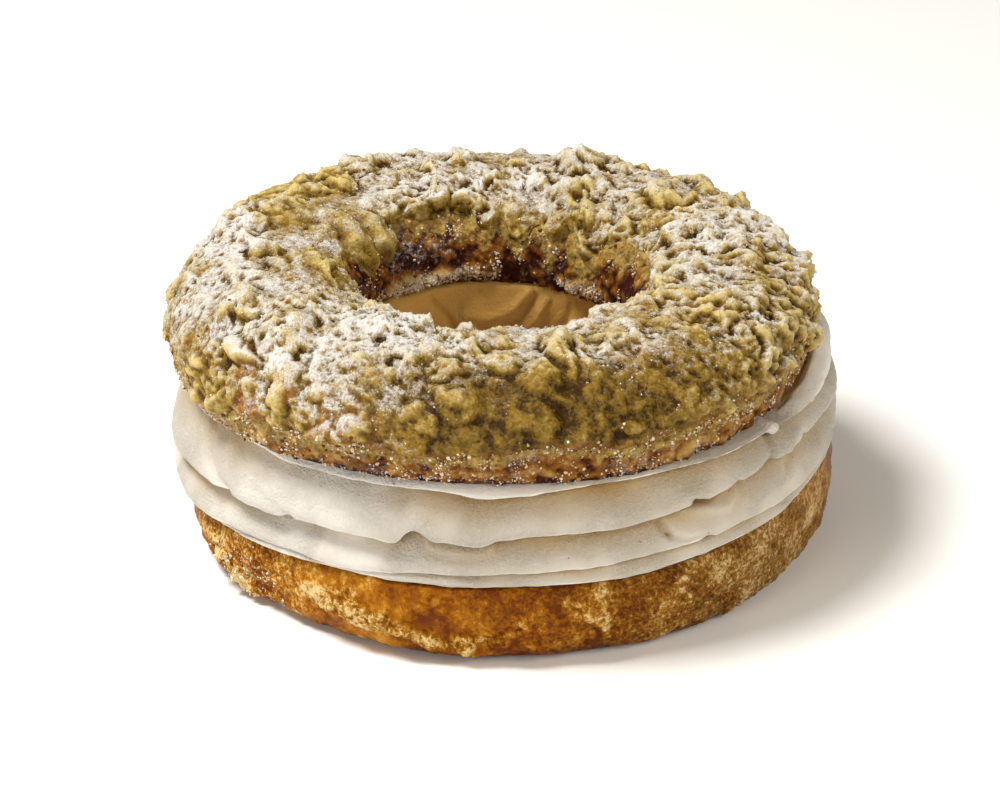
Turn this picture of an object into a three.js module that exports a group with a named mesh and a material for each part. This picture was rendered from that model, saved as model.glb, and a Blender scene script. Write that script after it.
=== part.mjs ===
// A filled ring doughnut. A fried dough ring is split flat: its base lies below, a thick band of piped
// cream fills the middle, and its lid sits on top under a craggy coat of pistachio paste.
// Units are millimetres, +Z is up. The origin is on the surface the ring stands on, under its middle,
// and the side seen first faces -Y. An angle round the ring is counted from +X, in degrees.

import * as THREE from "three";
import { ParametricGeometry } from "three/addons/geometries/ParametricGeometry.js";

// Driving dimensions
const RING_RADIUS = 50; // widest radius of the dough
const HOLE_RADIUS = 18.7; // narrowest radius of the hole
const BASE_HEIGHT = 13.4; // the base, at the middle of the ring
const CREAM_HEIGHT = 16.1; // the cream, at the middle of the ring
const LID_HEIGHT = 15.7; // from the lid's cut face to the crest of its coat, between lumps
const LID_BELLY = 5; // height of the lid's widest level above its cut face
const COAT_THICKNESS = 1.2; // mean thickness of the pistachio paste
const GAP = 0.3; // clearance between neighbouring pieces

// The base is cut a little thicker on the right, and the lid has slipped to the left
const BASE_SHIFT = 1.4;
const BASE_SLOPE = 0.042;
const CREAM_SHIFT = 0.3;
const LID_SHIFT = -2;

const BASE_FOOT_ROUND = 4.5; // rounding of the base's lower edges
const BASE_TOP_ROUND = 1.2; // rounding of the base's cut edges
const BASE_WOBBLE = 0.45; // unevenness of the base's wall
const CUT_HEIGHT = BASE_HEIGHT + CREAM_HEIGHT; // level of the lid's cut face
const LID_HALF_HEIGHT = LID_HEIGHT - LID_BELLY;

// How far the base's rim and the lid's cut edge sag, at every 30 degrees round the ring
const BASE_SAG = [0.4, 0, 0, 0, 0, 0.6, 1.8, 1.1, 0, 0.7, 1.6, 0.8];
const LID_SAG = [0, 0, 0, 0.3, 0.2, 0, 0.3, 1.1, 0.4, 0.4, 1.4, 0.8];

// Facets round the ring (slices), and round each piece's section
const BASE_SLICES = 52;
const CREAM_SLICES = 72;
const LID_SLICES = 50;
const COAT_SLICES = 104;
const ROPE_FACETS = 5;
const LID_DOME_FACETS = 14;
const COAT_OUTER_FACETS = 20;
const COAT_INNER_FACETS = 12;

const TAU = 2 * Math.PI;
const rad = (degrees) => (degrees * Math.PI) / 180;
const mix = (from, to, t) => from + (to - from) * t;
const turnFrom = (angle, other) => Math.atan2(Math.sin(angle - other), Math.cos(angle - other));

// 1 in the middle of a hump, falling smoothly to 0 at a distance of 1
const hump = (t) => (Math.abs(t) < 1 ? (1 - t * t) ** 2 : 0);

// The same with a rounder top and a sharper foot
const cap = (t) => Math.max(0, 1 - t * t) ** 1.5;

// A hump of the given height round one angle of the ring
const swellAt = (theta, degrees, halfWidth, height) =>
  height * hump(turnFrom(theta, rad(degrees)) / rad(halfWidth));

// A smooth closed curve through values that stand at even steps round the ring
function around(values, theta) {
  const n = values.length;
  const step = (((theta / TAU) % 1) + 1) * n;
  const i = Math.floor(step);
  const t = step - i;
  const [a, b, c, d] = [-1, 0, 1, 2].map((k) => values[(i + k + n) % n]);
  return b + 0.5 * t * (c - a + t * (2 * a - 5 * b + 4 * c - d + t * (3 * (b - c) + d - a)));
}

// A value from such a list, for a point of a ring that has shifted along X
const aroundAt = (values, shift, rho, theta) =>
  around(values, Math.atan2(rho * Math.sin(theta), shift + rho * Math.cos(theta)));

// Seeded numbers from 0 to 1, the same on every run
function seeded(seed) {
  let state = seed;
  return () => {
    state = (state * 16807) % 2147483647;
    return state / 2147483647;
  };
}

// One closed ring: section(theta, row) gives a point's radius and height, rows close on themselves
function ringMesh(name, look, slices, rows, shift, section) {
  const surface = (u, v, target) => {
    const theta = -u * TAU;
    const { rho, z } = section(theta, Math.round(v * rows) % rows);
    target.set(shift + rho * Math.cos(theta), rho * Math.sin(theta), z);
  };
  const wholeSlices = (u, v, target) => surface(Math.round(u * slices) / slices, v, target);
  const geometry = new ParametricGeometry(wholeSlices, slices, rows);
  geometry.deleteAttribute("normal");
  geometry.deleteAttribute("uv");
  const mesh = new THREE.Mesh(geometry, new THREE.MeshStandardMaterial({ metalness: 0, ...look }));
  mesh.name = name;
  return mesh;
}

// Base: a low ring with rounded edges, a flat foot, and a cut face that rises to the right

const baseTop = (shift, rho, theta) =>
  BASE_HEIGHT + BASE_SLOPE * (shift + rho * Math.cos(theta)) - aroundAt(BASE_SAG, shift, rho, theta);

const baseReach = (theta) =>
  RING_RADIUS +
  BASE_WOBBLE * (Math.sin(3 * theta + 0.6) + 0.6 * Math.sin(7 * theta + 2)) +
  swellAt(theta, 203, 30, 0.8);

const baseHole = (theta) => HOLE_RADIUS + 0.5 + BASE_WOBBLE * Math.sin(4 * theta + 1);

// The base's section as corner arcs: [radius, height] counted from the outer cut edge to the inner one
function baseSection(theta, row) {
  const outer = baseReach(theta);
  const inner = baseHole(theta);
  const arc = (degrees) => [Math.cos(rad(degrees)), Math.sin(rad(degrees))];
  const foot = (rho, side, degrees) => {
    const [across, up] = arc(degrees);
    return {
      rho: rho - side * BASE_FOOT_ROUND * (1 - across),
      z: BASE_FOOT_ROUND * (1 - up),
    };
  };
  const rim = (rho, side, degrees) => {
    const [across, up] = arc(degrees);
    const at = rho - side * BASE_TOP_ROUND * (1 - across);
    return { rho: at, z: baseTop(BASE_SHIFT, at, theta) - BASE_TOP_ROUND * (1 - up) };
  };
  const edges = [90, 45, 0];
  const points = [
    ...edges.map((degrees) => rim(outer - 0.5, 1, degrees)),
    { rho: outer, z: BASE_HEIGHT / 2 },
    ...[0, 30, 60, 90].map((degrees) => foot(outer - 0.6, 1, degrees)),
    ...[90, 45, 0].map((degrees) => foot(inner, -1, degrees)),
    ...edges.toReversed().map((degrees) => rim(inner, -1, degrees)),
  ];
  return points[row];
}

const BASE_ROWS = 14;

// Cream: four piped ropes, each hanging over the one below with a wavy lip

// Each rope's outermost radius, how much further it bulges on the right and on the left, and how deep
// the crease above it tucks in
const ROPES = [
  { reach: 48.2, right: 2.7, left: 0, tuck: 1.5 },
  { reach: 50.2, right: 1.4, left: 1.3, tuck: 3 },
  { reach: 49.6, right: 2.4, left: 2, tuck: 3 },
  { reach: 49.3, right: 1.9, left: 1.9, tuck: 1.5 },
];
// Heights of the lips under the three upper ropes, at every 30 degrees round the ring
const LIPS = [
  [28.4, 28.2, 27.8, 27.4, 27.6, 28.0, 27.2, 25.6, 26.2, 27.1, 28.6, 28.7],
  [24.3, 22.0, 20.5, 19.5, 18.6, 18.4, 15.0, 17.4, 18.9, 20.9, 22.2, 24.6],
  [18.6, 17.2, 16.5, 15.8, 15.2, 13.8, 12.2, 13.4, 14.2, 15.4, 15.8, 16.8],
];
const ROPE_DROOP = rad(42); // a rope is widest this far below the middle of its section
const ROPE_FROM = rad(88);
const ROPE_TO = rad(-88);
const CREAM_RISE = 2.2; // the top rope squeezed up beside the lid, on the right
const CREAM_HOLE = HOLE_RADIUS + 0.9;
const CREAM_HOLE_WAVE = 0.5;
const LID_EDGE_CLEAR = 1.0; // room beside the lid's cut edge where the cream may rise
const TOP_STEP = 0.3; // the cream's flat top ends this far inside the top rope

// The main lip breaks at the front into a curl and a loose flap beside it
const mainLipBreak = (theta) => swellAt(theta, 254, 4, 1.2) + swellAt(theta, 262, 6.5, -1.8);

const creamTop = (rho, theta) => CUT_HEIGHT - GAP - aroundAt(LID_SAG, CREAM_SHIFT, rho, theta);

function lipHeight(index, theta) {
  const ripple = 0.22 * Math.sin(9 * theta + 2 * index) + 0.16 * Math.sin(17 * theta + index);
  return around(LIPS[index], theta) + ripple + (index === 1 ? mainLipBreak(theta) : 0);
}

function ropeReach(theta, rope) {
  const { reach, right, left } = ROPES[rope];
  const bulge = swellAt(theta, 2, 75, right) + swellAt(theta, 185, 45, left);
  return reach + bulge + 0.2 * Math.sin(11 * theta + 3 * rope);
}

function ropePoint(theta, rope, facet) {
  const alpha = mix(ROPE_FROM, ROPE_TO, facet / (ROPE_FACETS - 1));
  const reach = ropeReach(theta, rope);
  const floor = baseTop(CREAM_SHIFT, reach, theta) + GAP;
  const ceiling = creamTop(reach, theta) + swellAt(theta, 2, 42, CREAM_RISE);
  const high = rope === 0 ? ceiling : lipHeight(rope - 1, theta);
  const low = rope === LIPS.length ? floor : lipHeight(rope, theta);
  return {
    rho: reach - ROPES[rope].tuck * (1 - Math.cos(alpha + ROPE_DROOP)),
    z: mix(low, high, (1 + Math.sin(alpha)) / 2),
  };
}

const CREAM_WALL_FACETS = 4; // facets of the cream's wall inside the hole
const CREAM_ROPE_ROWS = ROPES.length * ROPE_FACETS;
const CREAM_ROWS = CREAM_ROPE_ROWS + CREAM_WALL_FACETS + 2;

function creamSection(theta, row) {
  if (row < CREAM_ROPE_ROWS) return ropePoint(theta, Math.floor(row / ROPE_FACETS), row % ROPE_FACETS);
  const step = row - CREAM_ROPE_ROWS;
  if (step > CREAM_WALL_FACETS) {
    const lidEdge = lidRadii(theta, RIM_INSET).outerCut + (LID_SHIFT - CREAM_SHIFT) * Math.cos(theta);
    const edge = Math.min(lidEdge + LID_EDGE_CLEAR, ropePoint(theta, 0, 0).rho - TOP_STEP);
    return { rho: edge, z: creamTop(edge, theta) };
  }
  const rise = step / CREAM_WALL_FACETS;
  const rho = CREAM_HOLE + CREAM_HOLE_WAVE * Math.sin(5 * theta + 4 * rise) + 0.8 * (2 * rise - 1) ** 2;
  return { rho, z: mix(baseTop(CREAM_SHIFT, rho, theta) + GAP, CUT_HEIGHT - GAP, rise) };
}

// Lid: the upper part of the ring's round section, cut flat below

// Outer and inner radius of the lid at its belly, inset by the given depth below the coat's mean surface
function lidRadii(theta, inset) {
  const outer = RING_RADIUS + swellAt(theta, 28, 45, 1.3) + swellAt(theta, 168, 35, -1) - inset;
  const inner = HOLE_RADIUS + swellAt(theta, -20, 70, 2.2) + inset;
  const middle = (outer + inner) / 2;
  const half = (outer - inner) / 2;
  const height = LID_HALF_HEIGHT + 0.35 * Math.sin(2 * theta + 1) - inset;
  const cutAngle = Math.asin(LID_BELLY / height);
  return { middle, half, height, cutAngle, outerCut: middle + half * Math.cos(cutAngle) };
}

// A point of the lid's section: angle 0 is outermost, 90 the crest, 180 innermost
function lidPoint(theta, angle, inset) {
  const { middle, half, height } = lidRadii(theta, inset);
  return {
    rho: middle + half * Math.cos(angle),
    z: CUT_HEIGHT + LID_BELLY + height * Math.sin(angle),
  };
}

const LID_INSET = COAT_THICKNESS + GAP; // under the coat
const RIM_INSET = 0.35; // below the coat, where the bare dough comes out level with its border
const RIM_CLEAR = rad(2.5);
const RIM_STEP = rad(4.5);
const LID_ROWS = LID_DOME_FACETS + 3;

function lidSection(theta, row) {
  const innerCut = Math.PI + lidRadii(theta, LID_INSET).cutAngle;
  const lastUnderCoat = outerBorder(theta) - RIM_CLEAR;
  if (row <= LID_DOME_FACETS) {
    return lidPoint(theta, mix(innerCut, lastUnderCoat, row / LID_DOME_FACETS), LID_INSET);
  }
  if (row < LID_ROWS - 1) return lidPoint(theta, lastUnderCoat - RIM_STEP, RIM_INSET);
  const { rho, z } = lidPoint(theta, -lidRadii(theta, RIM_INSET).cutAngle, RIM_INSET);
  return { rho, z: z - aroundAt(LID_SAG, LID_SHIFT, rho, theta) };
}

// Coat: a craggy skin over the lid, ending in ragged borders outside and in the hole

// Section angles of the coat's outer border, at every 30 degrees
const OUTER_BORDER = [-8, -6, -6, -8, -6, -8, -9, -8, 1, -7, -10, -9];
// In the hole the coat ends at one section angle, but for its drips: ring angle, half width, length
const INNER_BORDER = 139;
const DRIPS = [
  [155, 11, 32],
  [141, 10, 28],
  [92, 9, 18],
  [77, 10, 26],
  [61, 11, 22],
  [42, 15, 28],
  [190, 24, 24],
  [230, 26, 16],
  [285, 30, 12],
];
const BORDER_WAVE = 3; // degrees
const OUTER_FADE = rad(13); // the crags fade out over this angle beside a border
const INNER_FADE = rad(8);
const BORDER_THICKNESS = 0.8;
const DRIPS_FROM = rad(130); // the facets inside this section angle stretch with the drips
const DRIP_SHARE = 0.25; // part of the facets that lie there
const LEAST_THICKNESS = 0.5;
const SECTION_RADIUS = 13.5; // turns a section angle into a length over the coat

// The largest folds, lumps and hollows: ring angle, section angle, size across and along, height
const MAIN_CRAGS = [
  [143, 142, 3.4, 7.5, 2.4],
  [154, 128, 3.6, 9.5, 2.2],
  [183, 88, 2.6, 2.6, 2.3],
  [158, 75, 3, 3, 1.6],
  [166, 85, 3.6, 4, -1.3],
  [196, 122, 5, 8, 1.2],
  [206, 68, 3.4, 3, 1.3],
  [123, 80, 3.4, 3, 1.5],
  [97, 88, 3.6, 3.2, 1.6],
  [110, 127, 9, 2.6, 1.7],
  [68, 84, 4.6, 4, 2.5],
  [62, 115, 3.2, 3.4, 1.6],
  [47, 130, 3.4, 3.4, 1.6],
  [38, 105, 5, 5, 1],
  [42, 45, 3.2, 3, 1.5],
  [13, 42, 2.8, 2.6, 1.5],
  [335, 118, 4, 2.2, 1],
  [218, 40, 5, 2.2, 2.1],
  [218, 22, 4, 3, -1],
  [232, 26, 2.4, 6.5, 1.6],
  [247, 12, 3.6, 3.4, 2],
  [264, 43, 4.6, 4.2, 2.4],
  [263, 65, 3.6, 3.2, 1.6],
  [257, 34, 2.8, 2.6, 1.6],
  [273, 55, 3.8, 4.5, -1.2],
  [282, 33, 3.2, 3.2, -1],
  [286, 78, 2.4, 8, 2],
  [290, 58, 2.4, 7, 1.4],
  [310, 14, 10, 2.4, 0.9],
];

// Smaller lumps, spread over the coat by a seeded draw
const SMALL_LUMPS = 150;
const LUMP_SEED = 71;
const LUMP_SIZES = [1.9, 4.2];
const LUMP_HEIGHT_SHARE = 0.38;

function drawLumps() {
  const draw = seeded(LUMP_SEED);
  return Array.from({ length: SMALL_LUMPS }, () => {
    const theta = 360 * draw();
    const angle = mix(-5, 165, draw());
    const size = mix(LUMP_SIZES[0], LUMP_SIZES[1], draw() ** 2);
    return [theta, angle, size, size * mix(0.7, 1.3, draw()), size * LUMP_HEIGHT_SHARE];
  });
}

const CRAGS = [...MAIN_CRAGS, ...drawLumps()].map(([theta, angle, across, along, height]) => ({
  theta: rad(theta),
  angle: rad(angle),
  radius: lidPoint(rad(theta), rad(angle), 0).rho,
  across,
  along,
  height,
}));

// Height of one crag at a place on the coat
function cragHeight(crag, theta, angle) {
  const across = (turnFrom(theta, crag.theta) * crag.radius) / crag.across;
  const along = ((angle - crag.angle) * SECTION_RADIUS) / crag.along;
  return crag.height * cap(Math.hypot(across, along));
}

// The highest lump at a place, less the deepest hollow
function relief(theta, angle) {
  const heights = CRAGS.map((crag) => cragHeight(crag, theta, angle));
  return Math.max(0, ...heights) + Math.min(0, ...heights);
}

const borderWave = (theta) => rad(BORDER_WAVE) * (Math.sin(8 * theta) + 0.7 * Math.sin(13 * theta + 1));
const outerBorder = (theta) => rad(around(OUTER_BORDER, theta)) + borderWave(theta);
const dripLength = (theta) => DRIPS.reduce((sum, drip) => sum + swellAt(theta, ...drip), 0);
const innerBorder = (theta) => rad(INNER_BORDER + dripLength(theta)) + 0.5 * borderWave(theta + 2);

function coatThickness(theta, angle) {
  const fromOuter = (angle - outerBorder(theta)) / OUTER_FADE;
  const fromInner = (innerBorder(theta) - angle) / INNER_FADE;
  const inward = 1 - hump(Math.min(1, fromOuter, fromInner));
  const whole = Math.max(LEAST_THICKNESS, COAT_THICKNESS + relief(theta, angle));
  return mix(BORDER_THICKNESS, whole, inward);
}

const COAT_ROWS = COAT_OUTER_FACETS + COAT_INNER_FACETS + 2;

// Section angle of the coat at a share of its way from the border in the hole to the outer one
function coatAngle(theta, share) {
  if (share < DRIP_SHARE) return mix(innerBorder(theta), DRIPS_FROM, share / DRIP_SHARE);
  return mix(DRIPS_FROM, outerBorder(theta), (share - DRIP_SHARE) / (1 - DRIP_SHARE));
}

function coatSection(theta, row) {
  if (row > COAT_OUTER_FACETS) {
    const back = (row - COAT_OUTER_FACETS - 1) / COAT_INNER_FACETS;
    return lidPoint(theta, coatAngle(theta, 1 - back), COAT_THICKNESS);
  }
  const angle = coatAngle(theta, row / COAT_OUTER_FACETS);
  return lidPoint(theta, angle, COAT_THICKNESS - coatThickness(theta, angle));
}

const GOLDEN_CRUST = { color: 0xb07a34, roughness: 0.6 };
const BROWN_CRUST = { color: 0x8a4a22, roughness: 0.65 };
const CREAM = { color: 0xf0e8d8, roughness: 0.55 };
const PISTACHIO = { color: 0xa08a48, roughness: 0.5 };

const doughnut = new THREE.Group();
doughnut.add(
  ringMesh("dough_base", GOLDEN_CRUST, BASE_SLICES, BASE_ROWS, BASE_SHIFT, baseSection),
  ringMesh("cream_filling", CREAM, CREAM_SLICES, CREAM_ROWS, CREAM_SHIFT, creamSection),
  ringMesh("dough_lid", BROWN_CRUST, LID_SLICES, LID_ROWS, LID_SHIFT, lidSection),
  ringMesh("pistachio_coat", PISTACHIO, COAT_SLICES, COAT_ROWS, LID_SHIFT, coatSection),
);

export default doughnut;
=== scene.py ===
"""Looks of a cream-filled ring doughnut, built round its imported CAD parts.

Each dough, cream and coat piece repeats the form of its solid at a finer step, and adds the relief
that is too small for the solid. Forms are worked out in millimetres and stored in metres. An angle
round the ring counts from +X. An angle in the lid's section is 0 outermost, 90 at the crest and 180
in the hole.
"""

from math import cos, pi, radians, sin

import bmesh
import bpy
import numpy as np
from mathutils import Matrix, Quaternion, Vector, noise

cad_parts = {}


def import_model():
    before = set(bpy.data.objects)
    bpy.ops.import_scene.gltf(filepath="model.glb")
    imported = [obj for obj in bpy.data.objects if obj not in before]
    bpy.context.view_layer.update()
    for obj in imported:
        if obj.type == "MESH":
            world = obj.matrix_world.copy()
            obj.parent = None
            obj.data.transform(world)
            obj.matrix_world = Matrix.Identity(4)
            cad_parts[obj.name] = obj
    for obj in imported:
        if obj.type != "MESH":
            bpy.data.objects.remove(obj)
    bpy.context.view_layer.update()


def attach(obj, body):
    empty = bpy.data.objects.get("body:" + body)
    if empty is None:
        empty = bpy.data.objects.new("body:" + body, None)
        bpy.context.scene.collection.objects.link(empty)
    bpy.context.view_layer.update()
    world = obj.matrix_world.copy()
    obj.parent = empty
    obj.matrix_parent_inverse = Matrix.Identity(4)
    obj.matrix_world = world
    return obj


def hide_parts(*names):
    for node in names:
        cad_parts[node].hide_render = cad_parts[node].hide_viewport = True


MM = 0.001
TAU = 2 * pi

# Sizes of the solids
RING_RADIUS = 50
HOLE_RADIUS = 18.7
BASE_HEIGHT = 13.4
CREAM_HEIGHT = 16.1
LID_HEIGHT = 15.7
LID_BELLY = 5
COAT_THICKNESS = 1.2
GAP = 0.3
BASE_SHIFT = 1.4
BASE_SLOPE = 0.042
CREAM_SHIFT = 0.3
LID_SHIFT = -2
CUT_HEIGHT = BASE_HEIGHT + CREAM_HEIGHT
LID_HALF_HEIGHT = LID_HEIGHT - LID_BELLY

# How far the base's rim and the lid's cut edge sag, at every 30 degrees round the ring
BASE_SAG = [0.4, 0, 0, 0, 0, 0.6, 1.8, 1.1, 0, 0.7, 1.6, 0.8]
LID_SAG = [0, 0, 0, 0.3, 0.2, 0, 0.3, 1.1, 0.4, 0.4, 1.4, 0.8]

# Camera, fitted to the photograph
IMAGE_WIDTH = 1000
SENSOR_WIDTH = 36
PIXELS_PER_MM = 6.4
CAMERA_DISTANCE = 557.7
CAMERA_ELEVATION = radians(26.3)
CAMERA_AIM = (-0.2, 0, 19)


# Curves and noise


def mix(low, high, t):
    return low + (high - low) * t


def smooth_step(low, high, value):
    t = np.clip((value - low) / (high - low), 0, 1)
    return t * t * (3 - 2 * t)


def hump(t):
    """1 in the middle, falling smoothly to 0 at a distance of 1."""
    return np.clip(1 - t * t, 0, 1) ** 2


def cap(t):
    """The same with a rounder top and a sharper foot."""
    return np.clip(1 - t * t, 0, 1) ** 1.5


def dome(t):
    """Half a ball, 1 in the middle and 0 at a distance of 1."""
    return np.sqrt(np.clip(1 - t * t, 0, 1))


def turn_from(angle, other):
    return (angle - other + pi) % TAU - pi


def swell_at(theta, degrees, half_width, height):
    """A hump of the given height round one angle of the ring."""
    return height * hump(turn_from(theta, radians(degrees)) / radians(half_width))


def swells(theta, places):
    """Humps round several angles of the ring, each an angle, a half width and a height."""
    return sum(swell_at(theta, *place) for place in places)


def around(values, theta):
    """A smooth closed curve through values that stand at even steps round the ring."""
    values = np.asarray(values, float)
    step = (theta / TAU) % 1 * len(values)
    i = np.floor(step).astype(int)
    t = step - i
    a, b, c, d = (values[(i + k) % len(values)] for k in (-1, 0, 1, 2))
    return b + 0.5 * t * (c - a + t * (2 * a - 5 * b + 4 * c - d + t * (3 * (b - c) + d - a)))


def around_at(values, shift, rho, theta):
    """A value from such a list, for a point of a ring that has shifted along X."""
    return around(values, np.arctan2(rho * np.sin(theta), shift + rho * np.cos(theta)))


def seeded(seed):
    """Seeded numbers from 0 to 1, the same on every run."""
    state = seed
    while True:
        state = state * 16807 % 2147483647
        yield state / 2147483647


def rough(points, size, octaves=3, seed=0):
    """Noise from about -1 to 1 at each point, with features of the given size in millimetres."""
    places = points.reshape(-1, 3) / size + 31.7 * seed
    values = [noise.fractal(place, 1.0, 2.0, octaves) for place in places.tolist()]
    return np.array(values).reshape(points.shape[:-1])


def packed(points, size, seed=0):
    """Heights from 0 to 1 of round grains of the given size, packed side by side."""
    places = points.reshape(-1, 3) / size + 31.7 * seed
    values = [noise.noise(place, noise_basis="VORONOI_F1") for place in places.tolist()]
    distance = (1 + np.array(values)) / 2
    return (1 - distance * distance).reshape(points.shape[:-1])


def blur(field, passes):
    """A field of rows round a ring, evened out a little on each pass."""
    for _ in range(passes):
        field = (np.roll(field, 1, axis=1) + 2 * field + np.roll(field, -1, axis=1)) / 4
        padded = np.concatenate([field[:1], field, field[-1:]])
        field = (padded[:-2] + 2 * padded[1:-1] + padded[2:]) / 4
    return field


def stroke_field(strokes, radius, theta, z):
    """Narrow ridges and creases drawn on a ring's wall.

    A stroke is its height or depth, its half width, and the ring angle and height of its points.
    """
    field = np.zeros_like(z)
    for height, half_width, path in strokes:
        nearest = np.full_like(z, np.inf)
        for (angle, low), (next_angle, high) in zip(path, path[1:]):
            across, up = turn_from(theta, radians(angle)) * radius, z - low
            run, rise = radians(next_angle - angle) * radius, high - low
            share = np.clip((across * run + up * rise) / (run * run + rise * rise), 0, 1)
            nearest = np.minimum(nearest, np.hypot(across - share * run, up - share * rise))
        field += height * hump(nearest / half_width)
    return field


def slices(count):
    return np.linspace(0, TAU, count, endpoint=False)


# Rings of points, in rows that run down the outside, inwards, and up through the hole


def join_rows(*sections):
    """Joins sections, each a radius and a height of some rows, into one radius and height."""
    pairs = [np.broadcast_arrays(rho, z) for rho, z in sections]
    return [np.concatenate(parts) for parts in zip(*pairs)]


def ring_points(theta, shift, rho, z):
    rho, z = np.broadcast_arrays(rho, z)
    return np.stack([shift + rho * np.cos(theta), rho * np.sin(theta), z], axis=-1)


def ring_normals(points):
    along = np.roll(points, -1, axis=0) - np.roll(points, 1, axis=0)
    across = np.roll(points, -1, axis=1) - np.roll(points, 1, axis=1)
    normals = np.cross(along, across)
    return normals / np.maximum(np.linalg.norm(normals, axis=-1, keepdims=True), 1e-9)


def add_mesh(name, vertices, faces, material, smooth, **attributes):
    """A mesh object from millimetre points, with one float attribute for each further keyword."""
    mesh = bpy.data.meshes.new(name)
    mesh.vertices.add(len(vertices))
    mesh.vertices.foreach_set("co", (vertices * MM).astype(np.float32).ravel())
    corners = faces.shape[1]
    mesh.loops.add(faces.size)
    mesh.loops.foreach_set("vertex_index", faces.astype(np.int32).ravel())
    mesh.polygons.add(len(faces))
    mesh.polygons.foreach_set("loop_start", np.arange(0, faces.size, corners, dtype=np.int32))
    mesh.polygons.foreach_set("use_smooth", np.full(len(faces), smooth))
    mesh.update()
    mesh.validate()
    for key, values in attributes.items():
        attribute = mesh.attributes.new(key, "FLOAT", "POINT")
        attribute.data.foreach_set("value", np.asarray(values, np.float32).ravel())
    mesh.materials.append(material)
    piece = bpy.data.objects.new(name, mesh)
    bpy.context.scene.collection.objects.link(piece)
    return piece


def add_ring(name, node, points, material, **attributes):
    """A closed ring piece that stands for one CAD node."""
    rows, columns = points.shape[:2]
    row, column = np.meshgrid(np.arange(rows), np.arange(columns), indexing="ij")
    below, beside = (row + 1) % rows, (column + 1) % columns
    corners = [(row, column), (below, column), (below, beside), (row, beside)]
    faces = np.stack([(r * columns + c).ravel() for r, c in corners], axis=1)
    piece = add_mesh(name, points.reshape(-1, 3), faces, material, True, **attributes)
    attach(piece, "root")
    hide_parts(node)
    return piece


# Materials


def linear(red, green, blue):
    """A screen colour, 0 to 255, as the linear colour that shaders use."""
    values = np.array([red, green, blue]) / 255
    curve = np.where(values > 0.04045, ((values + 0.055) / 1.055) ** 2.4, values / 12.92)
    return (*curve.tolist(), 1.0)


class Look:
    """A node material that is put together with short calls."""

    def __init__(self, name, constants):
        self.material = bpy.data.materials.new(name)
        self.material.use_nodes = True
        self.tree = self.material.node_tree
        self.shader = self.tree.nodes["Principled BSDF"]
        self.place = self.add("TexCoord").outputs["Object"]
        self.set(self.shader, constants)

    def set(self, node, values):
        for key, value in values.items():
            socket = node.inputs[key]
            if isinstance(value, bpy.types.NodeSocket):
                self.tree.links.new(value, socket)
            else:
                socket.default_value = value

    def add(self, kind, values=None, **settings):
        node = self.tree.nodes.new("ShaderNode" + kind)
        for key, value in settings.items():
            setattr(node, key, value)
        self.set(node, values or {})
        return node

    def noise(self, size, detail=3.0, roughness=0.55):
        """Noise from 0 to 1 with features of the given size in millimetres."""
        values = {"Vector": self.place, "Scale": 1 / (size * MM), "Detail": detail, "Roughness": roughness}
        return self.add("TexNoise", values).outputs["Fac"]

    def attribute(self, name):
        return self.add("Attribute", attribute_name=name).outputs["Fac"]

    def math(self, operation, first, second):
        return self.add("Math", {0: first, 1: second}, operation=operation).outputs[0]

    def plus(self, first, second):
        return self.math("ADD", first, second)

    def times(self, first, second):
        return self.math("MULTIPLY", first, second)

    def spread(self, value, width):
        """A value from 0 to 1 moved to stand round zero, and widened."""
        return self.times(self.math("SUBTRACT", value, 0.5), width)

    def step(self, value, low, high):
        """0 below low and 1 above high, smooth between."""
        values = {"Value": value, "From Min": low, "From Max": high}
        return self.add("MapRange", values, interpolation_type="SMOOTHSTEP").outputs[0]

    def blend(self, share, first, second):
        return self.add("Mix", {0: share, 6: first, 7: second}, data_type="RGBA").outputs[2]

    def ramp(self, value, *stops):
        """Colours along a value, each stop its position and a screen colour."""
        node = self.add("ValToRGB", {"Fac": value})
        elements = node.color_ramp.elements
        while len(elements) < len(stops):
            elements.new(0.5)
        for element, (position, colour) in zip(elements, stops):
            element.position = position
            element.color = linear(*colour)
        return node.outputs["Color"]

    def bump(self, height, distance):
        """Fine relief, its height in millimetres."""
        values = {"Height": height, "Distance": distance * MM}
        self.set(self.shader, {"Normal": self.add("Bump", values).outputs["Normal"]})

    def paint(self, colour, roughness):
        self.set(self.shader, {"Base Color": colour, "Roughness": roughness})


SUGAR_WHITE = linear(222, 219, 215)


def pistachio_look():
    """Olive paste under a film of sugar dust, paler on its lumps and darker in its creases, partly as painted
    highlight and shade.

    Where it is thinnest, brown crust shows through.
    """
    look = Look("pistachio_paste", {"Specular IOR Level": 0.14})
    grain = look.spread(look.noise(0.5, 3, 0.7), 0.7)
    mottle = look.plus(look.spread(look.noise(4, 3, 0.5), 0.6), grain)
    # The paste's colour follows the coat's relief value, which holds painted highlight on lumps and painted
    # shade in creases.
    paste = look.ramp(
        look.plus(look.attribute("relief"), mottle),
        (0.0, (56, 34, 0)),
        (0.4, (143, 112, 38)),
        (0.9, (212, 188, 120)),
    )
    crust = look.ramp(look.noise(1.2, 4, 0.7), (0.35, (104, 56, 16)), (0.65, (182, 132, 66)))
    paste = look.blend(look.attribute("bare"), paste, crust)
    speckle = look.spread(look.noise(0.42, 2, 0.75), 2.2)
    film = look.plus(speckle, look.spread(look.noise(1.6, 4, 0.7), 1.8))
    dust = look.attribute("dust")
    film = look.plus(film, look.times(dust, 1.5))
    share = look.times(look.step(film, 0.2, 1.55), 0.92)
    share = look.times(share, look.step(dust, 0.02, 0.3))
    look.paint(look.blend(share, paste, SUGAR_WHITE), look.plus(look.times(share, 0.5), 0.25))
    look.bump(look.plus(look.noise(0.6, 3, 0.7), look.times(share, 0.3)), 0.5)
    return look.material


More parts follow.
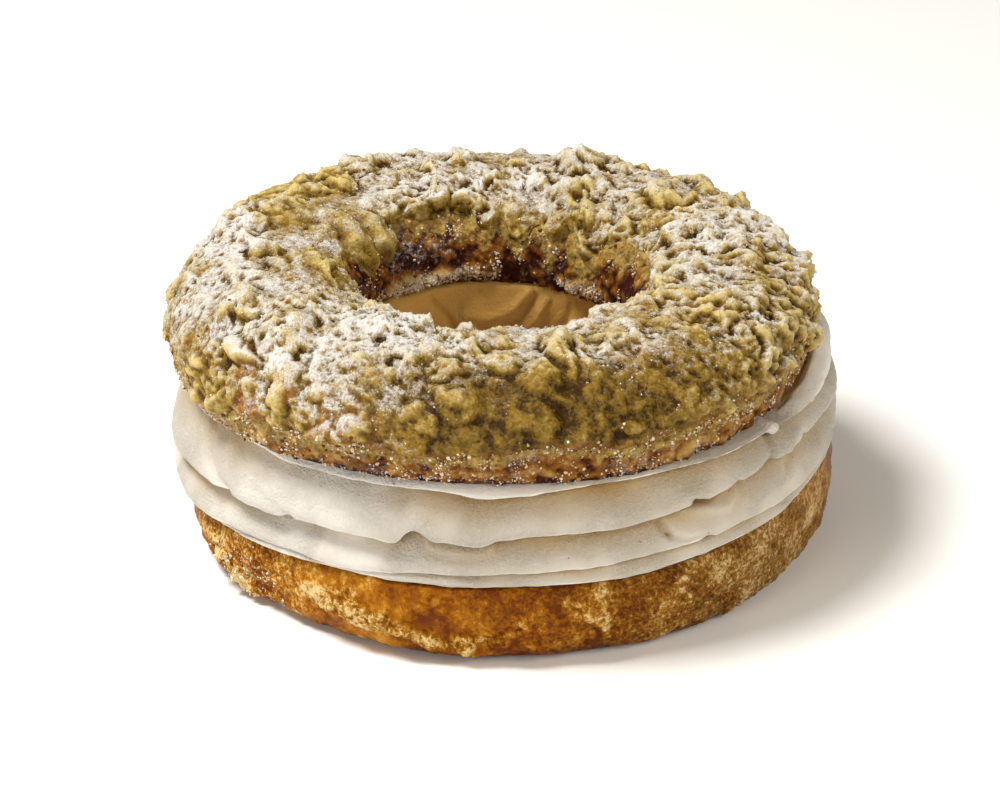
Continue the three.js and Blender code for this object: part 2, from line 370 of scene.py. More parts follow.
def golden_look():
    """Fried dough: glossy amber, olive tan on one side, with pale flaky patches and a few sugar specks."""
    look = Look("golden_crust", {"Specular IOR Level": 0.08})
    patches = look.spread(look.noise(5, 6, 0.65), 1.8)
    coarse = look.attribute("coarse")
    ragged = look.plus(look.attribute("flake"), look.spread(look.noise(1.6, 6, 0.8), 2.2))
    flake = look.step(ragged, 0.15, 1.05)
    granular = look.plus(look.math("MAXIMUM", coarse, flake), 0.3)
    grit = look.times(look.spread(look.noise(0.6, 4, 0.75), 2.2), granular)
    tone = look.plus(look.attribute("tone"), look.plus(patches, grit))
    tone = look.plus(tone, look.times(flake, 0.38))
    crust = look.ramp(
        tone,
        (0.05, (104, 46, 0)),
        (0.35, (144, 82, 2)),
        (0.55, (172, 110, 16)),
        (0.75, (208, 156, 68)),
        (1.0, (242, 212, 150)),
    )
    tan = look.ramp(tone, (0.05, (88, 48, 4)), (0.55, (150, 108, 40)), (1.0, (222, 194, 138)))
    crust = look.blend(look.attribute("olive"), crust, tan)
    specks = look.times(look.attribute("sugar"), 0.2)
    sugar = look.step(look.plus(look.noise(0.6, 3, 0.75), specks), 0.74, 0.84)
    rough = look.math("MAXIMUM", look.math("MAXIMUM", flake, sugar), coarse)
    look.paint(look.blend(sugar, crust, SUGAR_WHITE), look.plus(look.times(rough, 0.25), 0.2))
    look.bump(look.times(look.noise(0.6, 4, 0.75), look.plus(rough, 0.4)), 0.5)
    return look.material


def brown_look():
    """Dark fried dough with crumbs, smeared with paste next to the coat, with sugar stuck to it."""
    look = Look("brown_crust", {"Specular IOR Level": 0.12})
    patches = look.spread(look.noise(2.5, 7, 0.75), 1.2)
    crust = look.ramp(
        look.plus(look.attribute("tone"), patches),
        (0.1, (60, 16, 1)),
        (0.5, (144, 90, 24)),
        (0.95, (220, 182, 108)),
    )
    paste = look.ramp(look.noise(0.9, 4, 0.7), (0.35, (112, 80, 20)), (0.65, (194, 162, 88)))
    ragged = look.plus(look.attribute("smear"), look.spread(look.noise(0.8, 5, 0.8), 1.6))
    crust = look.blend(look.step(ragged, 0.3, 0.85), crust, paste)
    specks = look.times(look.attribute("sugar"), 0.3)
    share = look.step(look.plus(look.noise(0.7, 4, 0.75), specks), 0.66, 0.9)
    colour = look.blend(look.times(share, 0.8), crust, SUGAR_WHITE)
    look.paint(colour, look.plus(look.times(share, 0.3), 0.35))
    look.bump(look.plus(patches, look.times(share, 0.3)), 0.7)
    return look.material


def cream_look():
    """Whipped cream, warm white, with foamy patches and brown specks, painted light on lips and painted tan
    shade in creases and hole.
    """
    look = Look("cream", {"Subsurface Weight": 0.08, "Subsurface Scale": 0.0015})
    look.set(look.shader, {"Subsurface Radius": (1.0, 0.75, 0.5), "Specular IOR Level": 0.12})
    stops = [(0.3, (194, 186, 173)), (0.65, (209, 202, 190)), (0.95, (230, 225, 217))]
    # Painted light: the cream is paler along its lips.
    pale = look.plus(look.noise(9, 3), look.times(look.attribute("lip"), 0.5))
    tone = look.ramp(pale, *stops)
    hole = look.attribute("hole")
    # Painted shade in tan in the creases, and painted shade with bounced light in the hole.
    tone = look.blend(look.attribute("shade"), tone, linear(178, 144, 88))
    tone = look.blend(hole, tone, linear(204, 160, 86))
    foam = look.noise(0.5, 3, 0.7)
    patches = look.step(look.noise(11, 2), 0.36, 0.56)
    patches = look.times(patches, look.math("SUBTRACT", 1.0, hole))
    bubbles = look.times(look.step(foam, 0.5, 0.7), look.times(patches, 0.22))
    tone = look.blend(bubbles, tone, linear(246, 240, 228))
    specks = look.step(look.noise(0.5, 1), 0.765, 0.785)
    look.paint(look.blend(specks, tone, linear(170, 126, 74)), 0.6)
    look.bump(look.times(foam, look.plus(patches, 0.4)), 0.5)
    return look.material


def crumb_look():
    """Crumbs of sugared crust, from brown over gold to nearly white."""
    look = Look("crumbs", {"Specular IOR Level": 0.15})
    stops = [(0.1, (100, 54, 12)), (0.4, (150, 102, 40)), (0.7, (192, 154, 96)), (0.95, (224, 206, 178))]
    shade = look.plus(look.attribute("tone"), look.spread(look.noise(0.5, 2), 1))
    colour = look.ramp(shade, *stops)
    look.paint(colour, look.step(look.noise(0.8), -0.8, 1.2))
    return look.material


def sugar_look():
    """Sugar, from clear grains that look tan to white ones."""
    look = Look("sugar", {"Subsurface Weight": 0.1, "Subsurface Scale": 0.0005})
    stops = [(0.0, (190, 162, 118)), (0.45, (222, 213, 200)), (1.0, (236, 232, 226))]
    shade = look.ramp(look.attribute("tone"), *stops)
    look.paint(shade, look.step(look.noise(0.8), -0.6, 1.4))
    return look.material


def floor_look():
    look = Look("pale_floor", {"Specular IOR Level": 0.1})
    shade = look.ramp(look.noise(400, 2), (0.0, (247, 246, 243)), (1.0, (250, 249, 246)))
    look.paint(shade, 0.9)
    return look.material


# Base: a low ring with rounded edges, a flat foot, and a cut face that rises to the right

BASE_FOOT_ROUND = 4.5
BASE_TOP_ROUND = 1.2
BASE_WOBBLE = 0.45
BASE_SLICES = 900
BASE_TONE = 0.31

# Where the crust is granular, paler, olive, sugared and crumbly: ring angle, half width, share
BASE_COARSE = [(214, 26, 1), (310, 60, 0.7)]
BASE_COARSE_BEHIND = (95, 110, 0.8)
BASE_PALER = [(218, 40, 0.25), (242, 18, 0.12), (325, 45, 0.22), (268, 22, -0.06)]
BASE_OLIVE = (322, 56, 0.9)
BASE_SUGAR = [(220, 20, 0.6), (300, 40, 0.2)]
BASE_CRUMBS = (217, 22, 0.6)
# Where its flakes are softer, and where there are fewer
SOFTER_FLAKES = (318, 36, 0.5)
FEWER_FLAKES = (270, 12, 0.15)

# Flaky ridges along the wall, as strokes
BASE_FLAKES = [
    (0.8, 2.6, [(233, 6.4), (238, 8.6), (242, 9.4)]),
    (1.0, 2.6, [(236, 7.2), (246, 6), (251, 5.6), (255, 4.5), (262, 3)]),
    (0.5, 2.2, [(255, 9.6), (260, 10.2)]),
    (0.8, 2.4, [(262, 3.4), (269, 5.3), (272, 7.5)]),
    (0.6, 2.4, [(280, 10.2), (283, 7.1)]),
    (0.6, 3.0, [(286, 10.8), (287, 4)]),
    (0.6, 1.4, [(294, 9.6), (293.5, 5.4)]),
    (0.6, 1.2, [(300, 11), (302, 8), (301, 5)]),
    (0.6, 1.3, [(306, 9), (309, 6)]),
    (0.7, 2.0, [(204, 8), (210, 5.4), (213, 3.8), (218, 2.8)]),
    (0.5, 3.0, [(310, 11), (318, 9.5), (326, 10)]),
    (0.7, 2.2, [(12, 9), (20, 6.5), (28, 6)]),
    (0.9, 2.4, [(52, 5), (63, 7.5), (72, 6), (80, 4.5)]),
    (0.8, 2.2, [(98, 10), (108, 7), (118, 6.4)]),
    (0.9, 2.4, [(136, 4), (146, 6.6), (158, 6), (164, 8)]),
    (0.6, 2.0, [(176, 8), (184, 5.5)]),
]


def base_top(shift, rho, theta):
    slope = BASE_SLOPE * (shift + rho * np.cos(theta))
    return BASE_HEIGHT + slope - around_at(BASE_SAG, shift, rho, theta)


def base_reach(theta):
    waves = np.sin(3 * theta + 0.6) + 0.6 * np.sin(7 * theta + 2)
    return RING_RADIUS + BASE_WOBBLE * waves + swell_at(theta, 203, 30, 0.8)


def base_hole(theta):
    return HOLE_RADIUS + 0.5 + BASE_WOBBLE * np.sin(4 * theta + 1)


def base_foot(rho, side, angle):
    """A rounded lower edge: angle 0 is up the wall, 90 degrees on the floor."""
    return rho - side * BASE_FOOT_ROUND * (1 - np.cos(angle)), BASE_FOOT_ROUND * (1 - np.sin(angle))


def base_rim(theta, rho, side, angle):
    """A rounded cut edge: angle 0 is down the wall, 90 degrees on the cut face."""
    at = rho - side * BASE_TOP_ROUND * (1 - np.cos(angle))
    return at, base_top(BASE_SHIFT, at, theta) - BASE_TOP_ROUND * (1 - np.sin(angle))


def base_points(theta):
    outer, inner = base_reach(theta), base_hole(theta)
    down = np.linspace(pi / 2, 0, 9)[:, None]
    foot = np.linspace(0, pi / 2, 15)[:, None]
    rim = base_rim(theta, outer - 0.5, 1, down)
    curl = base_foot(outer - 0.6, 1, foot)
    t = np.linspace(0, 1, 32)[1:-1, None]
    bulge = 0.55 * np.sin(pi * t)
    wall = mix(rim[0][-1], curl[0][0], t) + bulge, mix(rim[1][-1], curl[1][0], t)
    inner_curl = base_foot(inner, -1, foot[::-2])
    inner_rim = base_rim(theta, inner, -1, down[::-2])
    return ring_points(theta, BASE_SHIFT, *join_rows(rim, wall, curl, inner_curl, inner_rim))


def base_crust(theta, points):
    """Relief of the crust, and how flaky and how granular it is."""
    across, up = (1.2 * rough(points, 4, 4, seed) for seed in (3, 6))
    flake = stroke_field(BASE_FLAKES, RING_RADIUS, theta + across / RING_RADIUS, points[..., 2] + up)
    flake = flake * (1 - swell_at(theta, *SOFTER_FLAKES)) - swell_at(theta, *FEWER_FLAKES)
    flake = flake + 0.3 * rough(points, 5, 5, 2)
    behind = swell_at(theta, *BASE_COARSE_BEHIND) * smooth_step(-0.1, 0.4, rough(points, 14, 2, 9))
    coarse = np.clip(0.15 + swells(theta, BASE_COARSE) + behind, 0, 1)
    grains = 0.9 * packed(points, 1.8) + 0.6 * packed(points, 0.9, 1) - 1.0
    ridges = smooth_step(0.1, 0.7, flake) * (0.5 + 0.8 * grains + 0.5 * rough(points, 1.4, 3, 7))
    waves = 0.4 * rough(points, 6, 3) + 0.2 * rough(points, 1.6, 3, 8)
    relief = waves + (0.15 + 0.6 * coarse) * grains + ridges
    return relief, flake, coarse


def make_base(material):
    theta = slices(BASE_SLICES)
    points = base_points(theta)
    normals = ring_normals(points)
    on_wall = smooth_step(0.0, 1.5, points[..., 2]) * smooth_step(0.6, -0.4, normals[..., 2])
    relief, flake, coarse = base_crust(theta, points)
    points = points + normals * (relief * on_wall)[..., None]
    tone = BASE_TONE + swells(theta, BASE_PALER) - 0.2 * smooth_step(2.5, 0.5, points[..., 2])
    tone = tone + 0.2 * rough(points * [1, 1, 0.7], 6, 5, 2) + 0.5 * (relief - blur(relief, 8))
    crumbs = np.clip(swell_at(theta, *BASE_CRUMBS) + 0.3 * rough(points, 4, 3, 5), 0, 1) ** 2
    attributes = {
        "tone": tone,
        "sugar": swells(theta, BASE_SUGAR) + 0.5 * rough(points, 4, 3, 4),
        "crumbs": on_wall * crumbs,
        "flake": flake,
        "coarse": coarse,
        "olive": np.broadcast_to(swell_at(theta, *BASE_OLIVE), flake.shape),
    }
    return add_ring("base", "dough_base", points, material, **attributes)


# Cream: four piped ropes, each hanging over the one below with a wavy lip

# Each rope's outermost radius, its further bulges on the right and on the left, and its tuck
ROPES = [
    (48.2, 2.7, 2, 1.5),
    (50.2, 1.4, 1.3, 3),
    (49.6, 2.4, 2, 3),
    (49.3, 1.9, 0.6, 1.5),
]
# Heights of the lips under the three upper ropes, at every 30 degrees
LIPS = [
    [28.4, 28.2, 27.8, 27.4, 27.6, 28.0, 28.2, 27.3, 27.3, 27.4, 28.6, 28.7],
    [24.3, 22.0, 20.5, 19.5, 18.6, 18.4, 15.0, 17.4, 18.9, 20.9, 22.2, 24.6],
    [18.6, 17.2, 16.5, 15.8, 15.2, 13, 10.6, 11.6, 13.4, 15, 15.8, 16.8],
]
LIP_OVERHANGS = [0.3, 1.0, 0.6]
# How much painted shade, in tan, each rope has under the lip above it
ROPE_SHADES = [0.15, 0.8, 1.0, 0.75]
ROPE_DROOP = radians(50)
ROPE_SPAN = radians(88)
ROPE_ROWS = 24
LIP_ROWS = 4
CREAM_RISE = 2.2
CREAM_PRESS = 0.45
CREAM_HOLE = HOLE_RADIUS + 0.9
CREAM_HOLE_WAVE = 0.5
CREAM_SLICES = 700
CREAM_WALL_ROWS = 22
LID_EDGE_CLEAR = 1.0
TOP_STEP = 0.3
# The ropes bulge further at these ring angles, over these half widths
RIGHT_BULGE = (2, 75)
LEFT_BULGE = (185, 45)
# The main lip curls up at the front, where two strokes of the piping bag meet
MAIN_LIP_BREAKS = [(255, 3.5, 1.9), (265.5, 4.5, -0.8), (250.5, 3, -0.4)]
# Where the painted shade in the creases is stronger or weaker, where the whole wall has more or less painted
# shade, and where it has painted light
PAINTED_CREASE_SHADE = [(290, 50, 0.2), (238, 26, -0.4)]
PAINTED_WALL_SHADE = [(290, 60, 0.14), (236, 26, -0.15)]
PAINTED_WALL_LIGHT = (234, 34, 0.6)

# Creases and ridges where the piped ropes end, cross and curl
CREAM_STROKES = [
    (-1.1, 0.8, [(304, 22.9), (308, 21.6), (310.5, 22.4), (313, 23.5)]),
    (0.5, 0.9, [(313.8, 22.9), (314.3, 21.2), (311.7, 19.9), (307, 20.4), (302, 21.3)]),
    (-1.0, 1.1, [(298, 20.0), (299.2, 18.6)]),
    (-0.5, 0.7, [(299.4, 18.2), (302.8, 17), (307.6, 16.2)]),
    (-0.8, 1.5, [(319.2, 23.8), (321.7, 25.3), (323.1, 28), (323.8, 30)]),
    (0.3, 1.3, [(325.9, 27.5), (327.1, 22.3), (327.4, 19.1)]),
    (-0.5, 1.3, [(332.6, 24.7), (329.7, 21.9), (326.9, 20.1)]),
    (0.3, 1.3, [(337, 28.2), (335, 27.2), (330, 25.9)]),
    (-0.7, 1.8, [(204, 26), (208.3, 21.2), (211, 19.4), (215, 18.2)]),
    (-0.5, 1.3, [(222.5, 21), (224.4, 20.4), (228, 19.8), (231, 18.8)]),
]

# Ridges and creases on the wall of the cream's hole
HOLE_STROKES = [
    (0.5, 1.3, [(108, 25), (97, 24), (86, 25.5), (78, 28.5)]),
    (-0.5, 1.0, [(102, 22.5), (91, 22), (81, 24.5), (75, 28)]),
    (0.45, 1.0, [(82, 21), (74, 24), (69, 28)]),
    (-0.5, 1.0, [(64, 22), (59, 25), (57, 28)]),
    (-0.6, 1.0, [(124, 28), (117, 25), (113, 22)]),
]


def lip_height(index, theta):
    ripple = 0.22 * np.sin(9 * theta + 2 * index) + 0.16 * np.sin(17 * theta + index)
    breaks = swells(theta, MAIN_LIP_BREAKS) if index == 1 else 0
    return around(LIPS[index], theta) + ripple + breaks


def cream_top(rho, theta):
    return CUT_HEIGHT - GAP + CREAM_PRESS - around_at(LID_SAG, CREAM_SHIFT, rho, theta)


def rope_reach(theta, rope):
    reach, right, left, _ = ROPES[rope]
    bulge = swell_at(theta, *RIGHT_BULGE, right) + swell_at(theta, *LEFT_BULGE, left)
    return reach + bulge + 0.2 * np.sin(11 * theta + 3 * rope)


def flap(theta, z):
    """A loose flap of cream that hangs below the main lip at the front."""
    from_middle = turn_from(theta, radians(262.5)) / radians(6.5)
    edge = 17.9 + 1.4 * from_middle**4
    return 1.4 * smooth_step(1.05, 0.85, np.abs(from_middle)) * smooth_step(edge - 0.3, edge + 0.3, z)


def rope_angles():
    """Section angles of a rope's rows, from the crease above it to its own lip."""
    return np.linspace(ROPE_SPAN, -ROPE_SPAN, ROPE_ROWS)[:, None]


def rope_rows(theta, rope):
    alpha = rope_angles()
    reach = rope_reach(theta, rope)
    top = cream_top(reach, theta) + swell_at(theta, 2, 42, CREAM_RISE)
    floor = base_top(CREAM_SHIFT, reach, theta) + GAP
    high = top if rope == 0 else lip_height(rope - 1, theta) + LIP_OVERHANGS[rope - 1]
    low = floor if rope == len(LIPS) else lip_height(rope, theta)
    rho = reach - ROPES[rope][3] * (1 - np.cos(alpha + ROPE_DROOP))
    z = mix(low, high, (1 + np.sin(alpha)) / 2)
    return (rho + flap(theta, z), z) if rope == 2 else (rho, z)


def under_lip(upper, lower):
    """Rows on the underside of a lip, from one rope's lower edge back to the rope below."""
    share = np.linspace(0, 1, LIP_ROWS + 2)[1:-1, None]
    return mix(upper[0][-1], lower[0][0], share), mix(upper[1][-1], lower[1][0], share)


def cream_points(theta):
    ropes = [rope_rows(theta, rope) for rope in range(len(ROPES))]
    outside = [ropes[0]]
    for upper, lower in zip(ropes, ropes[1:]):
        outside += [under_lip(upper, lower), lower]
    rise = np.linspace(0, 1, CREAM_WALL_ROWS)[:, None]
    bow = 0.8 * (2 * rise - 1) ** 2
    wall_rho = CREAM_HOLE + CREAM_HOLE_WAVE * np.sin(5 * theta + 4 * rise) + bow
    wall_z = mix(base_top(CREAM_SHIFT, wall_rho, theta) + GAP, CUT_HEIGHT - GAP + CREAM_PRESS, rise)
    lid_edge = lid_outer_cut(theta) + (LID_SHIFT - CREAM_SHIFT) * np.cos(theta)
    edge = np.minimum(lid_edge + LID_EDGE_CLEAR, ropes[0][0][0] - TOP_STEP)[None]
    top = edge, cream_top(edge, theta)
    return ring_points(theta, CREAM_SHIFT, *join_rows(*outside, (wall_rho, wall_z), top))


def cream_rows(on_rope, in_hole, rows):
    """A value for each row of the cream: given along each rope, none under the lips, even in the hole."""
    lip = np.zeros((LIP_ROWS, 1))
    shown = np.concatenate([part for rope in on_rope for part in (rope, lip)])[:-LIP_ROWS]
    return np.concatenate([shown, np.full((rows - len(shown), 1), in_hole)])


def cream_shade(rows):
    """How much painted shade, in tan, each row has: most in the creases under the lips."""
    from_crease = smooth_step(-0.7, 1.3, rope_angles()) + 0.5 * smooth_step(0.9, 1.5, rope_angles())
    return cream_rows([shade * from_crease for shade in ROPE_SHADES], 0, rows)


def cream_relief(theta, points):
    """The cream's points with soft lips, shallow folds, and the strokes on its wall and in its hole."""
    outside = len(ROPES) * ROPE_ROWS + len(LIPS) * LIP_ROWS
    shown, in_hole = slice(1, outside - 2), slice(outside + 1, -2)
    for _ in range(2):
        softer = (np.roll(points, 1, axis=0) + 2 * points + np.roll(points, -1, axis=0)) / 4
        points[shown] = softer[shown]
    normals = ring_normals(points)
    folds = 0.25 * rough(points * [1, 1, 1.8], 7, 2) + 0.08 * rough(points * [1, 1, 2], 2, 2, 1)
    strokes = stroke_field(CREAM_STROKES, RING_RADIUS, theta, points[..., 2])
    curls = stroke_field(HOLE_STROKES, CREAM_HOLE, theta, points[..., 2])
    points[shown] += (normals * (folds + strokes)[..., None])[shown]
    points[in_hole] += (normals * (folds + curls)[..., None])[in_hole]
    return points


def cream_looks(theta, points):
    """Painted shade in tan and painted light on the cream at each place, and 1 where it is in the hole."""
    rows = len(points)
    shade = cream_shade(rows) * (1 + swells(theta, PAINTED_CREASE_SHADE) + 0.4 * rough(points, 8, 2, 6))
    reach = np.hypot(points[..., 0] - CREAM_SHIFT, points[..., 1])
    # Painted shade also in recesses, where the radius lies inside its blurred radius.
    shade = shade + swells(theta, PAINTED_WALL_SHADE) + 0.5 * (blur(reach, 10) - reach)
    # Painted light along the lips' lower edges, on the whole top rope under the lid, and at the front left.
    lips = [np.ones((ROPE_ROWS, 1))] + [smooth_step(-0.9, -1.4, rope_angles())] * len(LIPS)
    lip = cream_rows(lips, 0, rows) + swell_at(theta, *PAINTED_WALL_LIGHT)
    # In the hole the cream gets painted shade with bounced light, in tan.
    hole = cream_rows([np.zeros((ROPE_ROWS, 1))] * len(ROPES), 1, rows)
    return {"shade": np.clip(shade, 0, 1), "lip": lip, "hole": np.broadcast_to(hole, shade.shape)}


def make_cream(material):
    theta = slices(CREAM_SLICES)
    points = cream_relief(theta, cream_points(theta))
    return add_ring("cream", "cream_filling", points, material, **cream_looks(theta, points))


# Lid: the upper part of the ring's round section, cut flat below

LID_INSET = COAT_THICKNESS + GAP
RIM_INSET = 0.35
WALL_INSET = 0.9
LID_SLICES = 720
RIM_TONE = 0.35
WALL_TONE = 0.1

# Where the outer rim is paler and more smeared with paste: ring angle, half width, share
RIM_PALER = [(212, 34, 0.5), (315, 26, 0.2)]
RIM_SMEAR = [(212, 26, 0.3), (272, 36, -0.12)]
# Where the wall of the hole is sugared and smeared, and has a ledge of sugared crumbs
WALL_SUGAR = (125, 30, 0.2)
WALL_SMEAR = [(40, 60, 0.7), (108, 34, 0.5)]
LEDGE = [(122, 46, 1), (42, 24, 1)]
LEDGE_ANGLE = radians(194)
LEDGE_SPAN = radians(11)


def lid_radii(theta, inset):
    """Middle, half width and height of the lid's section, inset below the coat's mean surface."""
    outer = RING_RADIUS + swell_at(theta, 28, 45, 1.3) + swell_at(theta, 168, 35, -1) - inset
    inner = HOLE_RADIUS + swell_at(theta, -20, 70, 2.2) + inset
    height = LID_HALF_HEIGHT + 0.35 * np.sin(2 * theta + 1) - inset
    return (outer + inner) / 2, (outer - inner) / 2, height


def lid_cut_angle(theta, inset):
    return np.arcsin(LID_BELLY / lid_radii(theta, inset)[2])


def lid_outer_cut(theta):
    middle, half, _ = lid_radii(theta, RIM_INSET)
    return middle + half * np.cos(lid_cut_angle(theta, RIM_INSET))


def lid_point(theta, angle, inset):
    middle, half, height = lid_radii(theta, inset)
    return middle + half * np.cos(angle), CUT_HEIGHT + LID_BELLY + height * np.sin(angle)


def lid_angles(theta):
    """Section angles of the lid's rows: up the wall of the hole, under the coat, down the outer rim."""
    inner_cut = pi + lid_cut_angle(theta, LID_INSET)
    hole_edge = inner_border(theta) - radians(13)
    rim_start = outer_border(theta) + radians(19)
    rim_end = -lid_cut_angle(theta, RIM_INSET)
    wall = mix(inner_cut, hole_edge, np.linspace(0, 1, 40)[:, None])
    hidden = mix(hole_edge, rim_start, np.linspace(0, 1, 10)[1:-1, None])
    rim = mix(rim_start, rim_end, np.linspace(0, 1, 40)[:, None])
    return np.concatenate([wall, hidden, rim])


def ledge(theta, angle):
    """A ledge of sugared crumbs low on the far wall of the hole."""
    return swells(theta, LEDGE) * hump((angle - LEDGE_ANGLE) / LEDGE_SPAN)


def lid_inset(theta, angle):
    """How far the lid lies below the coat's mean surface, and 1 where no coat covers it."""
    border, edge = outer_border(theta), inner_border(theta)
    at_rim = smooth_step(border + radians(17), border + radians(6), angle)
    at_wall = smooth_step(edge - radians(11), edge - radians(2), angle)
    inset = LID_INSET + (RIM_INSET - LID_INSET) * at_rim + (WALL_INSET - LID_INSET) * at_wall
    return inset, np.maximum(at_rim, at_wall)


def lid_points(theta, angle, inset):
    rho, z = lid_point(theta, angle, inset)
    droop = smooth_step(radians(-8), radians(-28), angle)
    return ring_points(theta, LID_SHIFT, rho, z - droop * around_at(LID_SAG, LID_SHIFT, rho, theta))


def lid_looks(theta, angle, points, crumbs, grains):
    """Tone, sugar, smears of paste and crumbs of the lid."""
    in_hole = smooth_step(radians(95), radians(130), angle)
    tone = mix(RIM_TONE + swells(theta, RIM_PALER), WALL_TONE, in_hole) + 1.1 * crumbs
    tone = tone + 0.25 * rough(points, 4, 4, 2) + (0.6 + 0.3 * in_hole) * grains
    tone = tone - 0.4 * smooth_step(radians(-21), radians(-28), angle)
    sugar = mix(0.4, 0.25 + swell_at(theta, *WALL_SUGAR), in_hole) + 0.9 * crumbs
    sugar = sugar + 0.4 * rough(points, 5, 3, 3)
    below_coat = np.maximum(outer_border(theta) - angle, angle - inner_border(theta))
    reach = mix(0.2 + swells(theta, RIM_SMEAR), 0.15 + swells(theta, WALL_SMEAR), in_hole)
    smear = smooth_step(reach, -0.1, below_coat) + 0.6 * rough(points * [1, 1, 0.4], 2, 4, 4)
    thick = mix(0.55, 0.3, in_hole) + crumbs + 0.8 * rough(points, 2.8, 3, 5)
    return {"tone": tone, "sugar": sugar, "smear": smear, "crumbs": np.clip(thick, 0, 1) ** 2}


def make_lid(material):
    theta = slices(LID_SLICES)
    angle = lid_angles(theta)
    inset, bare = lid_inset(theta, angle)
    points = lid_points(theta, angle, inset)
    normals = ring_normals(points)
    crumbs = ledge(theta, angle)
    grains = packed(points, 2.2) + 0.6 * packed(points, 1.0, 1) - 1.05
    relief = 0.35 * rough(points, 2.5, 4) + (0.8 + 0.6 * crumbs) * grains + 1.4 * crumbs
    cut_edges = np.array([0, -1])
    relief[cut_edges] = 0
    points = points + normals * relief[..., None]
    attributes = lid_looks(theta, angle, points, crumbs, grains)
    attributes["crumbs"] *= bare
    return add_ring("lid", "dough_lid", points, material, **attributes)


# Coat: a craggy skin over the lid, ending in ragged borders outside and in the hole

# Section angles where the coat ends: outside, at every 30 degrees round the ring, and in the hole
OUTER_BORDER = [-8, -6, -6, -8, -6, -8, -16, -23, -11, -7, -10, -9]
INNER_BORDER = 139
# Drips into the hole: ring angle, half width, length
DRIPS = [
    (155, 11, 32),
    (141, 10, 28),
    (92, 9, 18),
    (77, 10, 26),
    (61, 11, 22),
    (42, 15, 28),
    (190, 24, 24),
    (230, 26, 16),
    (285, 30, 12),
]
BORDER_WAVE = radians(3)
OUTER_FADE = radians(13)
INNER_FADE = radians(8)
BORDER_THICKNESS = 0.35
LEAST_THICKNESS = 0.5
SECTION_RADIUS = 13.5
COAT_SLICES = 760
COAT_ROWS = 112
COAT_INNER_ROWS = 14

# The largest folds, lumps and hollows: ring angle, section angle, size across and along, height
MAIN_CRAGS = [
    (143, 142, 3.4, 7.5, 2.4),
    (154, 128, 3.6, 9.5, 2.2),
    (183, 88, 2.6, 2.6, 2.3),
    (158, 75, 3, 3, 1.6),
    (166, 85, 3.6, 4, -1.3),
    (196, 122, 5, 8, 1.2),
    (206, 68, 3.4, 3, 1.3),
    (123, 80, 3.4, 3, 1.5),
    (97, 88, 3.6, 3.2, 1.6),
    (124, 117, 5, 2.6, 1.7),
    (111, 125, 5, 2.6, 1.7),
    (98, 133, 5, 2.6, 1.7),
    (68, 84, 4.6, 4, 2.5),
    (62, 115, 3.2, 3.4, 1.6),
    (47, 130, 3.4, 3.4, 1.6),
    (38, 105, 5, 5, 1),
    (42, 45, 3.2, 3, 1.5),
    (13, 42, 2.8, 2.6, 1.5),
    (335, 118, 4, 2.2, 1),
    (218, 40, 5, 2.2, 2.1),
    (218, 22, 4, 3, -1),
    (232, 26, 2.4, 6.5, 1.6),
    (247, 12, 3.6, 3.4, 2),
    (264, 43, 4.6, 4.2, 2.4),
    (263, 65, 3.6, 3.2, 1.6),
    (257, 34, 2.8, 2.6, 1.6),
    (273, 55, 3.8, 4.5, -1.2),
    (282, 33, 3.2, 3.2, -1),
    (286, 78, 2.4, 8, 2),
    (290, 58, 2.4, 7, 1.4),
    (310, 14, 10, 2.4, 0.9),
]
SMALL_LUMPS = 150
LUMP_SEED = 71
LUMP_SIZES = (1.9, 4.2)
LUMP_HEIGHT_SHARE = 0.38

# Nubs: the finest lumps, too small for the solid
NUBS = 3500
NUB_SEED = 23
NUB_SIZES = (0.7, 1.7)
NUB_HEIGHT_SHARE = 0.5

# Noise that bends the lumps out of round, in millimetres
WARP_SIZE = 3.5
WARP_HEIGHT = 1.3

# The side that sugar fell on, tilted to the lit left as partly painted light, and where more or less of it
# lies: ring angle, half width, share
DUST_AND_LIGHT_SIDE = np.array([-0.3, 0, 0.95])
MORE_DUST = [(98, 22, 0.2), (146, 30, -0.2), (55, 26, -0.22), (8, 30, 0.1)]
DUSTY_CREST = (250, 26, 0.2)
# Where the paste is wet, lumpiest, folded smoothly, streaked, and thin enough to show the crust
WET_FRONT = (282, 53, 1)
LUMPIEST = (80, 50, 0.3)
SMOOTH_FOLDS = (148, 24, 0.9)
STREAKED = (0, 65, 1)
THIN_PATCHES = (224, 36, 1)


def border_wave(theta):
    return BORDER_WAVE * (np.sin(8 * theta) + 0.7 * np.sin(13 * theta + 1))


def outer_border(theta):
    return np.radians(around(OUTER_BORDER, theta)) + border_wave(theta)


def inner_border(theta):
    return np.radians(INNER_BORDER + swells(theta, DRIPS)) + 0.5 * border_wave(theta + 2)


def draw_lumps():
    draw = seeded(LUMP_SEED)
    lumps = []
    for _ in range(SMALL_LUMPS):
        theta = 360 * next(draw)
        angle = mix(-5, 165, next(draw))
        size = mix(*LUMP_SIZES, next(draw) ** 2)
        lumps.append([theta, angle, size, size * mix(0.7, 1.3, next(draw)), size * LUMP_HEIGHT_SHARE])
    return lumps


def draw_nubs():
    """Round nubs, drawn out along the section on the right, where the paste was spread."""
    draw = np.random.default_rng(NUB_SEED)
    theta = draw.uniform(0, 360, NUBS)
    angle = draw.uniform(-10, 170, NUBS)
    size = mix(*NUB_SIZES, draw.uniform(0, 1, NUBS) ** 2)
    stretch = 1 + 1.8 * swell_at(np.radians(theta), 0, 60, 1) * draw.uniform(0.3, 1, NUBS)
    height = size * NUB_HEIGHT_SHARE * draw.uniform(0.5, 1, NUBS)
    return np.stack([theta, angle, size / np.sqrt(stretch), size * stretch, height], axis=1)


